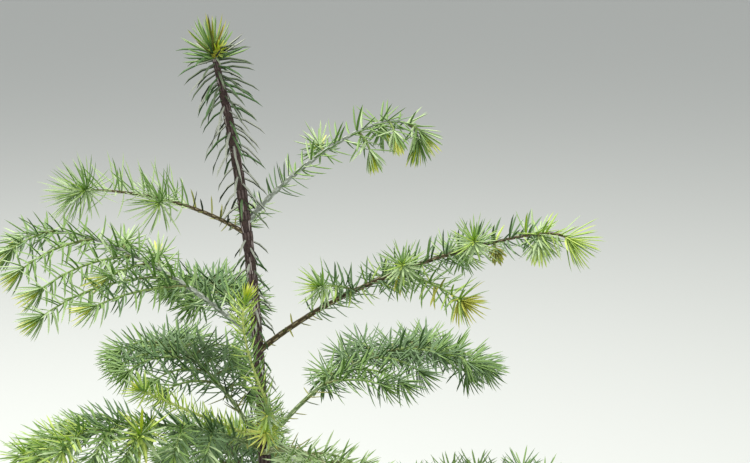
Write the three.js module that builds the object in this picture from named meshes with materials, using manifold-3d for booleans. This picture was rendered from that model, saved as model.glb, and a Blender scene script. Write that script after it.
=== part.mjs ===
// A young norfolk island pine, rooted in the ground: one slender trunk that leans to its left near the top,
// six whorls of boughs, and a mass of needled twigs on the end of every bough.
// Millimetres, +Z up, the origin in the middle of the trunk's flat cut at ground level.
import * as THREE from "three";
import { mergeVertices } from "three/addons/utils/BufferGeometryUtils.js";
import Module from "manifold-3d";

const wasm = await Module();
wasm.setup();

// The trunk
const TRUNK_HEIGHT = 416;
const TRUNK_LEAN = -16.2;
const TRUNK_LEAN_POWER = 6;
const TRUNK_SWAY = 2.5;
const TRUNK_TOP_RADIUS = 1.0;
const TRUNK_TAPER = 3.2;
const FLARE_RADIUS = 2.4;
const FLARE_HEIGHT = 9;
const TRUNK_SIDES = 8;
const TRUNK_RINGS = 32;

// What touches keeps this gap, and a mass keeps this far from the next one's space and from the trunk
const SEAT_GAP = 0.3;
const SPACE_MARGIN = 1.2;
const TRUNK_MARGIN = 1.5;

// Vertices this close are one, and fused solids keep no edge much shorter than the least edge
const MERGE_DISTANCE = 1e-3;
const LEAST_EDGE = 0.03;

// Boughs: a line of short steps that bow more and more, and a radius that tapers along it
const LINE_STEPS = 48;
const SAG_EASE = 1.5;
const BOUGH_TAPER = 0.62;
const BOUGH_SIDES = 6;
const BOUGH_RINGS = 3;

// Foliage: twigs in two rows on a bough's outer part, and needles that stand out of both, two at a time
const TWIG_SPACING = 21;
const TWIG_STEPS = 8;
const TWIG_ANGLE = 50;
const TWIG_RADIUS = 0.65;
const TWIG_TIP_RADIUS = 0.3;
const STEM_LEAST_RADIUS = 0.7;
const NEEDLE_LENGTH = 12.5;
const NEEDLE_BASE = 2.4;
const NEEDLE_LEAN = 55;
const TWIG_NEEDLE_SPACING = 22;
const STEM_NEEDLE_SPACING = 25;
const GOLDEN_ANGLE = 137.5;

// Needles of the leader: upright at the tip and bowed down more and more below it
const LEADER_TOP_LEAN = 20;
const LEADER_MORE_LEAN = 118;
const LEADER_LEAN_DEPTH = 7;
const LEADER_NEEDLE_LENGTH = 15.5;
const LEADER_NEEDLE_RADIUS = 0.55;
const LEADER_NEEDLE_SPACING = 2.8;
const SLEEVE_WALL = 0.55;
const WHORL_GAP = 5;
const TIP_STEM_LENGTH = 5;
const TIP_NEEDLES = 18;

// The whorls from the top down. A bough's bearing is in degrees, 0 along +X and 90 along +Y. It leaves the trunk
// at its rise above the level, sags along its length and nods at its tip, all in degrees; a large hook keeps the nod
// to the very tip. Step is how far above its whorl it leaves the trunk, turn is how far it swings round along its
// length, bare is the share of it that carries no twigs, and twig is the length of the longest twigs that the seeded
// rule gives it. A placed twig stands at a share of the leafy part, with a bearing, rise and bow of its own.
const WHORLS = [
  {
    height: 350,
    radius: 0.9,
    boughs: [
      {
        ...shape("left", 195, 69, { rise: 36, sag: -30, nod: -34, hook: 14, step: -3, bare: 0.36, twig: 0 }),
        placed: [
          { at: 0.18, bearing: 250, rise: 14, bow: -20, length: 9 },
          { at: 0.83, bearing: 250, rise: 20, bow: -20, length: 6 },
        ],
      },
      {
        ...shape("right", 25, 89, { rise: 47, sag: -28.5, nod: -135, hook: 8, step: 1.3, bare: 0.28, twig: 0 }),
        placed: [
          { at: 0.24, bearing: 100, rise: 20, bow: -30, length: 12 },
          { at: 0.49, bearing: 330, rise: -35, bow: -45, length: 12 },
          { at: 0.62, bearing: 80, rise: 5, bow: -50, length: 16 },
          { at: 0.7, bearing: 292, rise: -10, bow: -60, length: 10 },
          { at: 0.84, bearing: 340, rise: -10, bow: -50, length: 8 },
        ],
      },
      shape("back", 95, 30, { rise: 16, sag: -20, nod: 0, hook: 6, step: -1, bare: 0.3, twig: 0 }),
    ],
  },
  {
    height: 304,
    radius: 1.0,
    boughs: [
      {
        ...shape("right", 350, 131.5, { rise: 41, sag: -28, nod: -70, hook: 22, step: -2.5, bare: 0.2, twig: 0 }),
        placed: [
          { at: 0.18, bearing: 216, rise: 26, bow: -26, length: 18 },
          { at: 0.26, bearing: 68, rise: 10, bow: -40, length: 26 },
          { at: 0.35, bearing: 322, rise: -2, bow: -22, length: 32 },
          { at: 0.385, bearing: 262, rise: 24, bow: -10, length: 14 },
          { at: 0.52, bearing: 60, rise: 10, bow: -40, length: 20 },
          { at: 0.645, bearing: 264, rise: 26, bow: -10, length: 14 },
          { at: 0.71, bearing: 285, rise: -35, bow: -20, length: 6 },
          { at: 0.83, bearing: 56, rise: 5, bow: -40, length: 13 },
          { at: 0.87, bearing: 268, rise: -40, bow: -30, length: 6 },
        ],
      },
      {
        ...shape("left", 151, 124, { rise: 35, sag: -26, nod: -45, hook: 6, step: 1, bare: 0.28, twig: 0 }),
        placed: [
          { at: 0.02, bearing: 204, rise: 8, bow: -30, length: 40 },
          { at: 0.1, bearing: 196, rise: 8, bow: -44, length: 56 },
          { at: 0.18, bearing: 100, rise: 30, bow: -40, length: 17 },
          { at: 0.24, bearing: 216, rise: 0, bow: -20, length: 20 },
          { at: 0.32, bearing: 203, rise: 4, bow: -40, length: 42 },
          { at: 0.38, bearing: 96, rise: 20, bow: -40, length: 18 },
          { at: 0.54, bearing: 200, rise: 0, bow: -40, length: 34 },
          { at: 0.76, bearing: 196, rise: -4, bow: -36, length: 22 },
        ],
      },
      shape("back", 112, 92, { rise: 26, sag: -32, nod: -40, hook: 6, step: -1, bare: 0.28, twig: 26 }),
    ],
  },
  {
    height: 262,
    radius: 1.1,
    boughs: [
      shape("left", 192, 53, { rise: 24, sag: 4, nod: 0, hook: 8, step: 4, bare: 0.14, twig: 0 }),
      {
        ...shape("left_front", 211, 103, { rise: 37, sag: -44, nod: -8, hook: 4, step: -1, bare: 0.14, twig: 34 }),
        placed: [{ at: 0.42, bearing: 262, rise: 4, bow: -6, length: 15 }],
      },
      {
        ...shape("front", 307, 79, { rise: 23, sag: 61, nod: 35, hook: 12, step: 4, turn: -149, bare: 0.14, twig: 0 }),
        placed: [
          { at: 0.05, bearing: 247, rise: 12, bow: 0, length: 9 },
          { at: 0.26, bearing: 260, rise: 12, bow: 0, length: 9 },
        ],
      },
      shape("right_front", 304, 98, { rise: 27, sag: -52, nod: -30, hook: 6, step: -1, bare: 0.25, twig: 32 }),
      shape("right_back", 46, 132, { rise: 40, sag: -52, nod: -40, hook: 4, step: 1, bare: 0.25, twig: 38 }),
      shape("back", 118, 134, { rise: 28, sag: -34, nod: -30, hook: 6, step: -1, bare: 0.28, twig: 40 }),
    ],
  },
  evenWhorl({ height: 214, radius: 1.25, first: 250, length: 160, rise: 24, sag: -38, nod: -25, twig: 44 }),
  evenWhorl({ height: 160, radius: 1.4, first: 214, length: 180, rise: 20, sag: -38, nod: -20, twig: 48 }),
  evenWhorl({ height: 102, radius: 1.5, first: 254, length: 184, rise: 17, sag: -36, nod: -15, twig: 51 }),
];

function shape(side, bearing, length, { turn = 0, ...rest }) {
  return { side, bearing, length, turn, ...rest };
}

// A lower whorl: five boughs evenly round the trunk, each a little longer or shorter, higher or lower than the last
function evenWhorl({ height, radius, first, length, rise, sag, nod, twig }) {
  const count = 5;
  const boughs = [];
  for (let i = 0; i < count; i++) {
    const wave = Math.sin(first + 2.4 * i);
    const bearing = first + (360 / count) * i + 5 * wave;
    const step = i % 2 ? 1 : -1;
    const rest = { rise: rise - 4 * wave, sag, nod, hook: 6, step, turn: 6 * wave, bare: 0.3, twig };
    boughs.push(shape(String(i + 1), bearing, length * (1 + 0.05 * wave), rest));
  }
  return { height, radius, boughs };
}

function radians(degrees) {
  return (degrees * Math.PI) / 180;
}

// The seeded rule's random numbers, from 0 to 1: one sequence for each seed
function seededRandom(seed) {
  let state = seed >>> 0;
  const next = () => {
    state = (Math.imul(state, 1664525) + 1013904223) >>> 0;
    return state / 4294967296;
  };
  for (let i = 0; i < 4; i++) next();
  return next;
}

function trunkPoint(height) {
  const share = height / TRUNK_HEIGHT;
  const lean = TRUNK_LEAN * share ** TRUNK_LEAN_POWER;
  const sway = TRUNK_SWAY * Math.sin(Math.PI * share);
  return new THREE.Vector3(lean + sway * 0.6, sway, height);
}

function trunkRadius(height) {
  const taper = TRUNK_TAPER * (1 - height / TRUNK_HEIGHT);
  return TRUNK_TOP_RADIUS + taper + FLARE_RADIUS * Math.exp(-height / FLARE_HEIGHT);
}

// A unit vector from its bearing and its tilt above the level
function heading(bearing, tilt) {
  const level = Math.cos(radians(tilt));
  return new THREE.Vector3(
    level * Math.cos(radians(bearing)),
    level * Math.sin(radians(bearing)),
    Math.sin(radians(tilt)),
  );
}

function boughLine(whorl, bough) {
  const points = [trunkPoint(whorl.height + bough.step)];
  for (let i = 0; i < LINE_STEPS; i++) {
    const s = (i + 0.5) / LINE_STEPS;
    const tilt = bough.rise + bough.sag * (1 - (1 - s) ** SAG_EASE) + bough.nod * s ** bough.hook;
    const step = heading(bough.bearing + bough.turn * s, tilt).multiplyScalar(bough.length / LINE_STEPS);
    points.push(points[i].clone().add(step));
  }
  return points;
}

function pointOn(line, s) {
  const place = Math.min(Math.max(s, 0), 1) * (line.length - 1);
  const i = Math.min(Math.floor(place), line.length - 2);
  return line[i].clone().lerp(line[i + 1], place - i);
}

function directionOn(line, s) {
  const half = 0.5 / (line.length - 1);
  return pointOn(line, s + half).sub(pointOn(line, s - half)).normalize();
}

// A stretch of a line from share a to share b, with a ring at each of its steps
function stretch(line, a, b, steps) {
  const points = [];
  for (let i = 0; i <= steps; i++) points.push(pointOn(line, a + ((b - a) * i) / steps));
  return points;
}

// A tapering limb: a cylinder whose rings are carried along the line, square to it.
// The reference is any direction that the line never runs along.
function limbGeometry(line, radiusAt, sides, reference) {
  const steps = line.length - 1;
  const geometry = new THREE.CylinderGeometry(1, 1, 1, sides, steps);
  const position = geometry.getAttribute("position");
  for (let i = 0; i < position.count; i++) {
    const s = position.getY(i) + 0.5;
    const along = directionOn(line, s);
    const across = new THREE.Vector3().crossVectors(reference, along).normalize();
    const third = new THREE.Vector3().crossVectors(across, along);
    const radius = radiusAt(s);
    const point = pointOn(line, s)
      .addScaledVector(across, position.getX(i) * radius)
      .addScaledVector(third, position.getZ(i) * radius);
    position.setXYZ(i, point.x, point.y, point.z);
  }
  return geometry;
}

// A needle, or the spray or twig that one stands for: a three-sided spike from its root through its bend to its tip
function needleGeometry(points, radius, reference) {
  const steps = points.length - 1;
  const geometry = new THREE.ConeGeometry(1, 1, 3, steps);
  const position = geometry.getAttribute("position");
  for (let i = 0; i < position.count; i++) {
    const s = position.getY(i) + 0.5;
    const k = Math.round(s * steps);
    const along = points[Math.min(k + 1, steps)].clone().sub(points[Math.max(k - 1, 0)]).normalize();
    const across = new THREE.Vector3().crossVectors(reference, along).normalize();
    const third = new THREE.Vector3().crossVectors(across, along);
    const point = points[k]
      .clone()
      .addScaledVector(across, position.getX(i) * radius)
      .addScaledVector(third, position.getZ(i) * radius);
    position.setXYZ(i, point.x, point.y, point.z);
  }
  return geometry;
}

function solidOf(geometry) {
  const bare = geometry.clone();
  bare.deleteAttribute("normal");
  bare.deleteAttribute("uv");
  const merged = mergeVertices(bare, MERGE_DISTANCE);
  return new wasm.Manifold(
    new wasm.Mesh({
      numProp: 3,
      vertProperties: new Float32Array(merged.getAttribute("position").array),
      triVerts: new Uint32Array(merged.index.array),
    }),
  );
}

function geometryOf(solid) {
  const mesh = solid.getMesh();
  const points = new Float32Array(mesh.numVert * 3);
  for (let i = 0; i < mesh.numVert; i++) {
    points.set(mesh.vertProperties.subarray(i * mesh.numProp, i * mesh.numProp + 3), i * 3);
  }
  const geometry = new THREE.BufferGeometry();
  geometry.setAttribute("position", new THREE.BufferAttribute(points, 3));
  geometry.setIndex(new THREE.BufferAttribute(mesh.triVerts, 1));
  return geometry;
}

// Solids fused into one. The largest body is kept, so a sealed hollow is filled and loose scrap is dropped.
function joined(solids) {
  const whole = solids.reduce((all, solid) => all.add(solid)).simplify(LEAST_EDGE);
  const bodies = solidOf(geometryOf(whole)).decompose();
  return bodies.reduce((most, body) => (body.volume() > most.volume() ? body : most));
}

// The trunk's solid, or the same grown by an allowance, between two heights
function trunkSolid(grow, from, to, rings) {
  const line = [];
  for (let i = 0; i <= rings; i++) line.push(trunkPoint(from + ((to - from) * i) / rings));
  const radiusAt = (s) => trunkRadius(from + (to - from) * s) + grow;
  const geometry = limbGeometry(line, radiusAt, TRUNK_SIDES, new THREE.Vector3(0, 1, 0));
  const position = geometry.getAttribute("position");
  for (let i = 0; i < position.count; i++) {
    if (Math.abs(position.getZ(i) - from) < 1) position.setZ(i, from);
  }
  return solidOf(geometry);
}

// Every bough with its whorl, line, name and seed
const BOUGHS = WHORLS.flatMap((whorl, tier) =>
  whorl.boughs.map((bough, i) => ({
    ...bough,
    whorl,
    name: `tier${tier + 1}_${bough.side}`,
    seed: 1000 * (tier + 1) + 100 * (i + 1),
    line: boughLine(whorl, bough),
  })),
);

function boughRadius(bough, s) {
  return bough.whorl.radius * (1 - BOUGH_TAPER * s);
}

function distanceToLine(point, line) {
  const nearest = new THREE.Vector3();
  const segment = new THREE.Line3();
  let least = Infinity;
  for (let i = 0; i + 1 < line.length; i += 2) {
    segment.set(line[i], line[Math.min(i + 2, line.length - 1)]);
    segment.closestPointToPoint(point, true, nearest);
    least = Math.min(least, nearest.distanceTo(point));
  }
  return least;
}

function distanceToTrunk(point) {
  const height = Math.min(Math.max(point.z, 0), TRUNK_HEIGHT);
  return point.distanceTo(trunkPoint(height));
}

// A mass keeps to the space that is nearer to its own bough than to any other, and clear of the trunk
function inOwnSpace(point, own) {
  const mine = distanceToLine(point, own.line);
  if (distanceToTrunk(point) < trunkRadius(point.z) + TRUNK_MARGIN) return false;
  return BOUGHS.every(
    (other) => other === own || distanceToLine(point, other.line) > mine + SPACE_MARGIN,
  );
}

// The seeded rule for twig number i of a bough: twigs stand right and left by turns, longest a third of the way along
function ruledTwig(bough, i, count) {
  const random = seededRandom(bough.seed + i);
  const at = 0.04 + (0.9 * i) / count;
  const side = i % 2 ? 1 : -1;
  const bearing = bough.bearing + bough.turn * at + side * (TWIG_ANGLE + 16 * random());
  const reach = (1 - at) ** 0.6 * (0.65 + 0.9 * at);
  const length = bough.twig * reach * (0.85 + 0.3 * random());
  return { at, bearing, length, rise: 10 + 12 * random(), bow: -45 - 25 * random(), turn: -14 * side };
}

function twigsOf(bough, length) {
  const twigs = [...(bough.placed ?? [])];
  const count = bough.twig ? Math.max(4, Math.round(length / TWIG_SPACING)) : 0;
  for (let i = 0; i < count; i++) twigs.push(ruledTwig(bough, i, count));
  return twigs;
}

function twigLine(twig, stemLine) {
  const points = [pointOn(stemLine, twig.at)];
  for (let i = 0; i < TWIG_STEPS; i++) {
    const u = (i + 0.5) / TWIG_STEPS;
    const step = heading(twig.bearing + (twig.turn ?? 0) * u, twig.rise + twig.bow * u);
    points.push(points[i].clone().addScaledVector(step, twig.length / TWIG_STEPS));
  }
  return points;
}

// A stem with needles: a four-sided limb with a needle drawn out of two opposite sides at a time, by turns level and
// upright. Each needle has a ring of the limb before it, one through it and one after it.
function brushGeometry(line, length, radiusAt, spacing, own, reference, random) {
  const count = Math.max(1, Math.round(length / spacing));
  const segments = 3 * count + 1;
  const halfBase = NEEDLE_BASE / 2 / length;
  const placeOf = (ring) => {
    if (ring === 0 || ring === segments) return ring / segments;
    const needle = Math.floor((ring - 1) / 3);
    return (needle + 0.62) / (count + 0.3) + (((ring - 1) % 3) - 1) * halfBase;
  };
  const twists = Array.from({ length: count }, () => 50 * random() - 25);
  const geometry = new THREE.CylinderGeometry(1, 1, 1, 4, segments);
  const position = geometry.getAttribute("position");
  for (let i = 0; i < position.count; i++) {
    const ring = Math.round((position.getY(i) + 0.5) * segments);
    const s = placeOf(ring);
    const along = directionOn(line, s);
    const across = new THREE.Vector3().crossVectors(reference, along).normalize();
    const third = new THREE.Vector3().crossVectors(across, along);
    const out = across.multiplyScalar(position.getX(i)).addScaledVector(third, position.getZ(i));
    const point = pointOn(line, s);
    const needle = Math.floor((ring - 1) / 3);
    const drawn = ring > 0 && ring < segments && (ring - 1) % 3 === 1;
    const level = Math.abs(position.getX(i)) > 0.5;
    if (drawn && level === (needle % 2 === 0)) {
      const aim = out.clone().applyAxisAngle(along, radians(twists[needle]));
      aim.multiplyScalar(Math.sin(radians(NEEDLE_LEAN))).addScaledVector(along, Math.cos(radians(NEEDLE_LEAN)));
      const tip = point.clone().addScaledVector(aim, NEEDLE_LENGTH);
      const middle = point.clone().lerp(tip, 0.5);
      if ([middle, tip].every((place) => inOwnSpace(place, own))) {
        position.setXYZ(i, tip.x, tip.y, tip.z);
        continue;
      }
    }
    point.addScaledVector(out, radiusAt(s));
    position.setXYZ(i, point.x, point.y, point.z);
  }
  return geometry;
}

// The woody part of a bough, seated on the trunk
function boughSolid(bough) {
  const line = stretch(bough.line, 0, bough.bare, BOUGH_RINGS);
  const radiusAt = (s) => boughRadius(bough, s * bough.bare);
  const reference = heading(bough.bearing + 90, 0);
  const limb = solidOf(limbGeometry(line, radiusAt, BOUGH_SIDES, reference));
  const height = bough.line[0].z;
  return limb.subtract(trunkSolid(SEAT_GAP, height - 12, height + 12, 3));
}

// The leafy part of a bough: its stem goes on from the bough's tip, and twigs with needles branch off it
function foliageSolid(bough) {
  const start = bough.bare + SEAT_GAP / bough.length;
  const length = bough.length * (1 - start);
  const stemLine = stretch(bough.line, start, 1, LINE_STEPS);
  const stemRadius = (s) => Math.max(boughRadius(bough, start + (1 - start) * s), STEM_LEAST_RADIUS);
  const twigRadius = (s) => TWIG_RADIUS + (TWIG_TIP_RADIUS - TWIG_RADIUS) * s;
  const level = heading(bough.bearing + bough.turn / 2 + 90, 0);
  const random = seededRandom(bough.seed);
  const spacing = bough.twig ? STEM_NEEDLE_SPACING : STEM_NEEDLE_SPACING / 2;
  const solids = [solidOf(brushGeometry(stemLine, length, stemRadius, spacing, bough, level, random))];
  for (const twig of twigsOf(bough, length)) {
    const points = twigLine(twig, stemLine);
    if (!points.slice(2).every((point) => inOwnSpace(point, bough))) continue;
    const across = directionOn(stemLine, twig.at);
    const brush = brushGeometry(points, twig.length, twigRadius, TWIG_NEEDLE_SPACING, bough, across, random);
    solids.push(solidOf(brush));
  }
  return joined(solids);
}

// How far a needle of the leader turns away from the stem's upward line, for its depth below the tip
function leaderNeedleLean(depth) {
  return LEADER_TOP_LEAN + LEADER_MORE_LEAN * (1 - Math.exp(-depth / LEADER_LEAN_DEPTH));
}

// A needle of the leader: it starts nearly square to the stem and bows towards its lean
function leaderNeedle(height, turn) {
  const along = trunkPoint(height + 1).sub(trunkPoint(height - 1)).normalize();
  const out = heading(turn, 0).projectOnPlane(along).normalize();
  const lean = leaderNeedleLean(TRUNK_HEIGHT + TIP_STEM_LENGTH - height);
  const points = [trunkPoint(height)];
  for (const bend of [0.82, 1.18]) {
    const aim = along.clone().multiplyScalar(Math.cos(radians(lean * bend)));
    aim.addScaledVector(out, Math.sin(radians(lean * bend))).multiplyScalar(LEADER_NEEDLE_LENGTH / 2);
    points.push(points[points.length - 1].clone().add(aim));
  }
  return points;
}

// Needles round the trunk between two heights, fused to a thin sleeve of leaf bases that is cut clear of the trunk
function leaderSleeve(from, to) {
  const rings = Math.max(2, Math.round((to - from) / 12));
  const solids = [trunkSolid(SEAT_GAP + SLEEVE_WALL, from, to, rings)];
  const count = Math.round((to - from - 4) / LEADER_NEEDLE_SPACING);
  for (let i = 0; i < count; i++) {
    const height = from + 2 + ((to - from - 4) * (i + 0.5)) / count;
    const turn = i * GOLDEN_ANGLE;
    const points = leaderNeedle(height, turn);
    const clear = points.slice(1).every((point) =>
      BOUGHS.every((bough) => distanceToLine(point, bough.line) > distanceToTrunk(point) + SPACE_MARGIN),
    );
    if (clear) solids.push(solidOf(needleGeometry(points, LEADER_NEEDLE_RADIUS, heading(turn + 90, 0))));
  }
  const cut = joined(solids).subtract(trunkSolid(SEAT_GAP, from - 1, to + 1, rings));
  return joined([cut]);
}

// The rosette on the trunk's tip: a short stem with needles from level to nearly upright
function leaderTip() {
  const top = trunkPoint(TRUNK_HEIGHT);
  const along = top.clone().sub(trunkPoint(TRUNK_HEIGHT - 4)).normalize();
  const base = top.clone().addScaledVector(along, SEAT_GAP + 0.1);
  const line = [base, base.clone().addScaledVector(along, TIP_STEM_LENGTH)];
  const radiusAt = (s) => TRUNK_TOP_RADIUS * (1 - 0.4 * s);
  const solids = [solidOf(limbGeometry(line, radiusAt, BOUGH_SIDES, new THREE.Vector3(0, 1, 0)))];
  for (let i = 0; i < TIP_NEEDLES; i++) {
    const share = (i + 0.5) / TIP_NEEDLES;
    const root = line[0].clone().lerp(line[1], 0.3 + 0.6 * share);
    const lean = 88 - 76 * share;
    const aim = heading(i * GOLDEN_ANGLE, 90 - lean).multiplyScalar(LEADER_NEEDLE_LENGTH - 3);
    const tip = root.clone().add(aim);
    solids.push(solidOf(needleGeometry([root, tip], LEADER_NEEDLE_RADIUS, heading(i * GOLDEN_ANGLE + 90, 0))));
  }
  return joined(solids);
}

const bark = new THREE.MeshStandardMaterial({ color: 0x5a4a3c, roughness: 0.85, metalness: 0 });
const boughBark = new THREE.MeshStandardMaterial({ color: 0x7d6a4f, roughness: 0.8, metalness: 0 });
const needles = new THREE.MeshStandardMaterial({ color: 0x7fa85a, roughness: 0.55, metalness: 0 });
const leaderGreen = new THREE.MeshStandardMaterial({ color: 0x5f7a3a, roughness: 0.55, metalness: 0 });

const pine = new THREE.Group();

function addNode(name, solid, material) {
  const mesh = new THREE.Mesh(geometryOf(solid), material);
  mesh.name = name;
  pine.add(mesh);
}

addNode("trunk", trunkSolid(0, 0, TRUNK_HEIGHT, TRUNK_RINGS), bark);
addNode("leader_tip", leaderTip(), leaderGreen);
addNode("leader_needles_upper", leaderSleeve(350 + WHORL_GAP, TRUNK_HEIGHT), leaderGreen);
addNode("leader_needles_middle", leaderSleeve(304 + WHORL_GAP, 350 - WHORL_GAP), leaderGreen);
addNode("leader_needles_lower", leaderSleeve(262 + 2 * WHORL_GAP, 304 - WHORL_GAP), leaderGreen);
for (const bough of BOUGHS) {
  addNode(`${bough.name}_bough`, boughSolid(bough), boughBark);
  addNode(`${bough.name}_foliage`, foliageSolid(bough), needles);
}

export default pine;
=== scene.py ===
# %% [markdown]
# # A young norfolk island pine
# This lesson dresses a small conifer. The frame that is loaded first holds the plant's solids: the trunk,
# the boughs and a mass of coarse twigs on each bough. They are right in size and place, and here bark with
# leaf bases, fine twigs and nearly thirty thousand needles take their place, grown by the same rule.
# %% Load the frame
import math
import bpy
import numpy as np
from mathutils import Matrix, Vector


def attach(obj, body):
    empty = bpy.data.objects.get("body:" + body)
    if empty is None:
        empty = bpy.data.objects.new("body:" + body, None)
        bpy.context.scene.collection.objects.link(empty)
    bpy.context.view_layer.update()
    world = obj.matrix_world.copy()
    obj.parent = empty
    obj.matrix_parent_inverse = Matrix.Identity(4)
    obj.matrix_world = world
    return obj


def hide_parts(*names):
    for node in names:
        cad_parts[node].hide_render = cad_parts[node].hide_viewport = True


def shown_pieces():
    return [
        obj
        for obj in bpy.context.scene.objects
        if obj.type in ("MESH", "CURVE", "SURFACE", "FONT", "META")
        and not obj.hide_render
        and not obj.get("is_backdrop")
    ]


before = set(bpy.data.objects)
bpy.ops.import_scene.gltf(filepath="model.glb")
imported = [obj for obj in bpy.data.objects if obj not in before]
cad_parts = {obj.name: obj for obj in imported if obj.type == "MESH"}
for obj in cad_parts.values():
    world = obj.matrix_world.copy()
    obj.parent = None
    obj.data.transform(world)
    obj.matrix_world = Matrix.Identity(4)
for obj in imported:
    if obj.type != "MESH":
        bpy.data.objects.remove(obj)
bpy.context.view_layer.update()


# %% [markdown]
# ## The trunk's line
# A sapling's trunk is straight for most of its height, and its soft tip leans. A high power of the height
# gives that, because it stays almost nothing low down. The plant's sizes are in millimetres, and become
# metres only when a mesh is made.
# %% Sizes of the trunk
MM = 0.001
TRUNK_HEIGHT = 416
TRUNK_LEAN = -16.2
TRUNK_LEAN_POWER = 6
TRUNK_SWAY = 2.5
SWAY_TO_SIDE = 0.6
TRUNK_TOP_RADIUS = 1.0
TRUNK_TAPER = 3.2
FLARE_RADIUS = 2.4
FLARE_HEIGHT = 9


def trunk_point(height):
    share = np.asarray(height, dtype=float) / TRUNK_HEIGHT
    sway = TRUNK_SWAY * np.sin(np.pi * share)
    side = TRUNK_LEAN * share**TRUNK_LEAN_POWER + SWAY_TO_SIDE * sway
    return np.stack([side, sway, share * TRUNK_HEIGHT], axis=-1)


def trunk_radius(height):
    taper = TRUNK_TAPER * (1 - height / TRUNK_HEIGHT)
    return TRUNK_TOP_RADIUS + taper + FLARE_RADIUS * np.exp(-height / FLARE_HEIGHT)


print("the tip stands", round(float(trunk_point(TRUNK_HEIGHT)[0]), 1), "mm to the side of the foot")

# %% [markdown]
# ## The whorls
# This species sends out its boughs in whorls, one whorl a season. A bough rises from the trunk, sags along
# its length and nods at its tip. The hook says how late it nods, the step moves its root up or down, the turn
# bends it sideways, and its bare share has no twigs. The upper boughs have numbers of their own and some
# placed twigs, and a wave varies the five boughs of a lower whorl.
# %% The table of whorls
WHORL_BOUGHS = 5
WAVE_STEP = 2.4
BEARING_WAVE = 5
LENGTH_WAVE = 0.05
RISE_WAVE = 4
TURN_WAVE = 6
PLAIN_BOUGH = {"nod": 0, "hook": 6, "step": -1, "turn": 0, "twig": 0}


def placed_twig(at, bearing, rise, bow, length, own=None):
    twig = {"at": at, "bearing": bearing, "rise": rise, "bow": bow, "length": length}
    return {**twig, "turn": 0, "look": own or {}}


def shape(side, bearing, length, placed=(), **own):
    placed = [placed_twig(*row) for row in placed]
    return {**PLAIN_BOUGH, "side": side, "bearing": bearing, "length": length, "placed": placed, **own}


def even_whorl(height, radius, first, length, rise, sag, nod, twig):
    boughs = []
    for i in range(WHORL_BOUGHS):
        wave = math.sin(first + WAVE_STEP * i)
        bearing = first + 360 / WHORL_BOUGHS * i + BEARING_WAVE * wave
        boughs.append(shape(
            str(i + 1), bearing, length * (1 + LENGTH_WAVE * wave), rise=rise - RISE_WAVE * wave, sag=sag,
            nod=nod, step=1 if i % 2 else -1, bare=0.3, twig=twig, turn=TURN_WAVE * wave))
    return {"height": height, "radius": radius, "boughs": boughs}


FRONT_STAR = {"lean": 60, "star": 1.0, "star_size": 1.15, "star_width": 1.2}
WHORLS = [
    {"height": 350, "radius": 0.9, "boughs": [
        shape("left", 195, 69, rise=36, sag=-30, nod=-34, hook=14, step=-3, bare=0.36, placed=[
            (0.18, 250, 14, -20, 9), (0.83, 250, 20, -20, 6)]),
        shape("right", 25, 89, rise=47, sag=-28.5, nod=-135, hook=8, step=1.3, bare=0.28, placed=[
            (0.24, 100, 20, -30, 12), (0.49, 330, -35, -45, 12, {"star_size": 0.8}), (0.62, 80, 5, -50, 16),
            (0.7, 292, -10, -60, 10, {"star_size": 0.8}), (0.84, 340, -10, -50, 8)]),
        shape("back", 95, 30, rise=16, sag=-20, bare=0.3)]},
    {"height": 304, "radius": 1.0, "boughs": [
        shape("right", 350, 131.5, rise=41, sag=-28, nod=-70, hook=22, step=-2.5, bare=0.2, placed=[
            (0.18, 216, 26, -26, 18), (0.26, 68, 10, -40, 26),
            (0.35, 322, -2, -22, 32, {"tips": "fresh gold mid", "heart": "gold", "heart_depth": 1.6}),
            (0.385, 262, 24, -10, 14), (0.52, 60, 10, -40, 20), (0.645, 264, 26, -10, 14),
            (0.71, 285, -35, -20, 6, {"tips": "olive gold", "needle": 5}),
            (0.83, 56, 5, -40, 13), (0.87, 268, -40, -30, 6, {"star_size": 0.8, "heart_depth": 1.2})]),
        shape("left", 151, 124, rise=35, sag=-26, nod=-45, step=1, bare=0.28, placed=[
            (0.02, 204, 8, -30, 40), (0.1, 196, 8, -44, 56), (0.18, 100, 30, -40, 17),
            (0.24, 216, 0, -20, 20), (0.32, 203, 4, -40, 42), (0.38, 96, 20, -40, 18),
            (0.54, 200, 0, -40, 34), (0.76, 196, -4, -36, 22)]),
        shape("back", 112, 92, rise=26, sag=-32, nod=-40, bare=0.28, twig=26)]},
    {"height": 262, "radius": 1.1, "boughs": [
        shape("left", 192, 53, rise=24, sag=4, hook=8, step=4, bare=0.14),
        shape("left_front", 211, 103, rise=37, sag=-44, nod=-8, hook=4, bare=0.14, twig=34, placed=[
            (0.42, 262, 4, -6, 15, {
                "tips": "bright pale yellow", "heart": "bright", "heart_depth": 1.2, "lean": 66,
                "star_size": 1.3, "star_width": 1.9, "star_turn": 50})]),
        shape("front", 307, 79, rise=23, sag=61, nod=35, hook=12, step=4, bare=0.14, turn=-149, placed=[
            (0.05, 247, 12, 0, 9, {"tips": "bright yellow fresh", "heart_depth": 1.2, **FRONT_STAR}),
            (0.26, 260, 12, 0, 9, {"tips": "pale pale fresh", "heart_depth": 0.4, **FRONT_STAR})]),
        shape("right_front", 304, 98, rise=27, sag=-52, nod=-30, bare=0.25, twig=32),
        shape("right_back", 46, 132, rise=40, sag=-52, nod=-40, hook=4, step=1, bare=0.25, twig=38),
        shape("back", 118, 134, rise=28, sag=-34, nod=-30, bare=0.28, twig=40)]},
    even_whorl(214, 1.25, first=250, length=160, rise=24, sag=-38, nod=-25, twig=44),
    even_whorl(160, 1.4, first=214, length=180, rise=20, sag=-38, nod=-20, twig=48),
    even_whorl(102, 1.5, first=254, length=184, rise=17, sag=-36, nod=-15, twig=51),
]
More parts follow.
